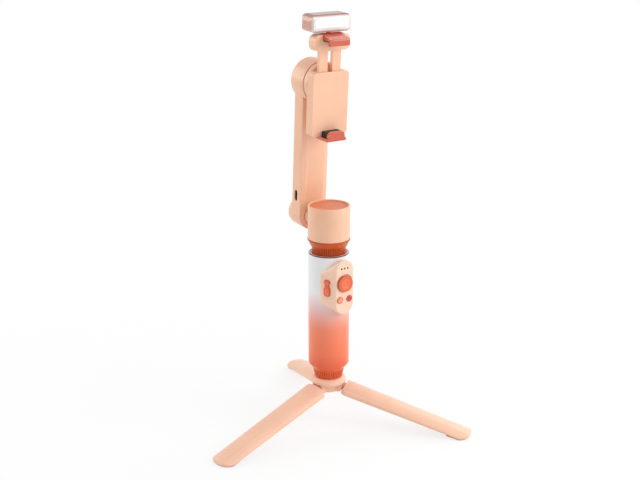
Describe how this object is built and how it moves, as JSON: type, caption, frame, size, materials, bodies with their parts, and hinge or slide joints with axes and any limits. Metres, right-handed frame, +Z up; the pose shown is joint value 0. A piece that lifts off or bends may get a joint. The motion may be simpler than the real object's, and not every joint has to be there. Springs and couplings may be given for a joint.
{
  "type": "smartphone gimbal",
  "caption": "Phone gimbal with a folding arm, sprung clamp, fill light, telescopic handle and folding mini tripod.",
  "frame": {"origin": "on the floor under the handle's axis, in the plane of the three foot pads", "axes": "+Z up along the handle, -Y the way the clamp and the control pod face, +X to the right seen from the front"},
  "size_m": [0.2043, 0.2133, 0.3418],
  "materials": {
    "peach_plastic": "satin moulded",
    "coral_plastic": "satin moulded",
    "coral_gloss": "glossy, slightly see-through",
    "grip_paint": "soft paint fading from white to coral",
    "rubber": "matte",
    "steel": "turned",
    "rod_metal": "anodised",
    "bronze": "sintered",
    "motor_core": "laminated and varnished",
    "magnet": "nickel plated",
    "board": "solder mask",
    "battery_wrap": "foil wrap",
    "status_window": "smoked window",
    "diffuser": "opal"
  },
  "bodies": {
    "stand": {"tripod_hub": "peach_plastic", "tripod_stud": "steel", "leg_pins": "steel", "base_collar": "coral_plastic", "base_insert": "steel", "grip_tube": "grip_paint", "grip_collar": "coral_gloss", "rod_sleeve": "rod_metal", "control_pod": "peach_plastic", "control_board": "board", "status_lights": "status_window", "rocker_pin": "steel"},
    "leg_1": {"leg_1": "peach_plastic", "foot_pad_1": "rubber"},
    "leg_2": {"leg_2": "peach_plastic", "foot_pad_2": "rubber"},
    "leg_3": {"leg_3": "peach_plastic", "foot_pad_3": "rubber"},
    "rod_1": {"rod_tube_1": "rod_metal"},
    "rod_2": {"rod_tube_2": "rod_metal"},
    "rod_3": {"rod_tube_3": "rod_metal"},
    "rod_4": {"rod_tube_4": "rod_metal", "pan_base": "coral_plastic", "pan_stator": "motor_core", "pan_shaft": "steel"},
    "joystick_ring": {"joystick_ring": "steel"},
    "joystick": {"joystick_cap": "coral_plastic"},
    "mode_button": {"mode_button": "coral_plastic"},
    "record_button": {"record_button": "coral_plastic"},
    "zoom_rocker": {"zoom_rocker": "coral_plastic"},
    "motor": {"pan_housing": "peach_plastic", "pan_cap": "coral_gloss", "pan_magnets": "magnet", "pan_bearings": "steel", "fold_shaft": "steel"},
    "arm": {"arm_shell": "peach_plastic", "arm_cover": "peach_plastic", "fold_bush": "bronze", "fold_cap": "peach_plastic", "battery": "battery_wrap", "main_board": "board", "charging_port": "steel", "roll_stator": "motor_core", "roll_bearings": "steel"},
    "clamp": {"roll_shaft": "steel", "roll_rotor": "peach_plastic", "roll_magnets": "magnet", "clamp_back": "peach_plastic", "lower_jaw": "coral_plastic", "lower_pad": "rubber", "clamp_spring": "steel"},
    "upper_jaw": {"jaw_carrier": "peach_plastic", "upper_jaw": "coral_plastic", "upper_pad": "rubber", "light_foot": "steel"},
    "light": {"light_housing": "peach_plastic", "light_diffuser": "diffuser", "light_board": "board"}
  },
  "joints": [
    {"name": "leg_1_fold", "type": "hinge", "parent": "stand", "child": "leg_1", "pos_m": [0.00612, -0.00727, 0.0322], "axis": [0.7649, 0.6441, 0], "range_deg": [0, 74.6]},
    {"name": "leg_2_fold", "type": "hinge", "parent": "stand", "child": "leg_2", "pos_m": [0.00323, 0.00893, 0.0322], "axis": [-0.9403, 0.3404, 0], "range_deg": [0, 74.6]},
    {"name": "leg_3_fold", "type": "hinge", "parent": "stand", "child": "leg_3", "pos_m": [-0.00935, -0.00167, 0.0322], "axis": [0.1754, -0.9845, 0], "range_deg": [0, 74.6]},
    {"name": "rod_1_slide", "type": "slide", "parent": "stand", "child": "rod_1", "axis": [0, 0, 1], "range_m": [0, 0.072]},
    {"name": "rod_2_slide", "type": "slide", "parent": "rod_1", "child": "rod_2", "axis": [0, 0, 1], "range_m": [0, 0.072]},
    {"name": "rod_3_slide", "type": "slide", "parent": "rod_2", "child": "rod_3", "axis": [0, 0, 1], "range_m": [0, 0.072]},
    {"name": "rod_4_slide", "type": "slide", "parent": "rod_3", "child": "rod_4", "axis": [0, 0, 1], "range_m": [0, 0.072]},
    {"name": "pan", "type": "hinge", "parent": "rod_4", "child": "motor", "pos_m": [0, 0, 0.1619], "axis": [0, 0, 1], "range_deg": [-160, 160]},
    {"name": "arm_fold", "type": "hinge", "parent": "motor", "child": "arm", "pos_m": [0, 0.024, 0.1756], "axis": [0, 1, 0], "range_deg": [0, 150]},
    {"name": "roll", "type": "hinge", "parent": "arm", "child": "clamp", "pos_m": [0, 0.00619, 0.28658], "axis": [0, -0.9981, -0.061], "range_deg": [-150, 150]},
    {"name": "jaw_slide", "type": "slide", "parent": "clamp", "child": "upper_jaw", "axis": [0, -0.061, 0.9981], "range_m": [-0.016, 0.019], "stiffness_N_per_m": 400, "deforming": ["clamp_spring"]},
    {"name": "light_swivel", "type": "hinge", "parent": "upper_jaw", "child": "light", "pos_m": [0, 0.00129, 0.32751], "axis": [0, -0.061, 0.9981], "range_deg": [0, 180]},
    {"name": "joystick_lean", "type": "hinge", "parent": "stand", "child": "joystick_ring", "pos_m": [0, -0.0197, 0.1289], "axis": [1, 0, 0], "range_deg": [-8, 8], "stiffness_Nm_per_rad": 0.02},
    {"name": "joystick_tilt", "type": "hinge", "parent": "joystick_ring", "child": "joystick", "pos_m": [0, -0.0197, 0.1289], "axis": [0, 0, 1], "range_deg": [-8, 8], "stiffness_Nm_per_rad": 0.02},
    {"name": "mode_press", "type": "slide", "parent": "stand", "child": "mode_button", "axis": [0, 1, 0], "range_m": [0, 0.0008], "stiffness_N_per_m": 400},
    {"name": "record_press", "type": "slide", "parent": "stand", "child": "record_button", "axis": [0, 1, 0], "range_m": [0, 0.0008], "stiffness_N_per_m": 400},
    {"name": "zoom_rock", "type": "hinge", "parent": "stand", "child": "zoom_rocker", "pos_m": [-0.01142, -0.01507, 0.1248], "axis": [-0.4097, 0.9122, 0], "range_deg": [-5, 5], "stiffness_Nm_per_rad": 0.02}
  ]
}
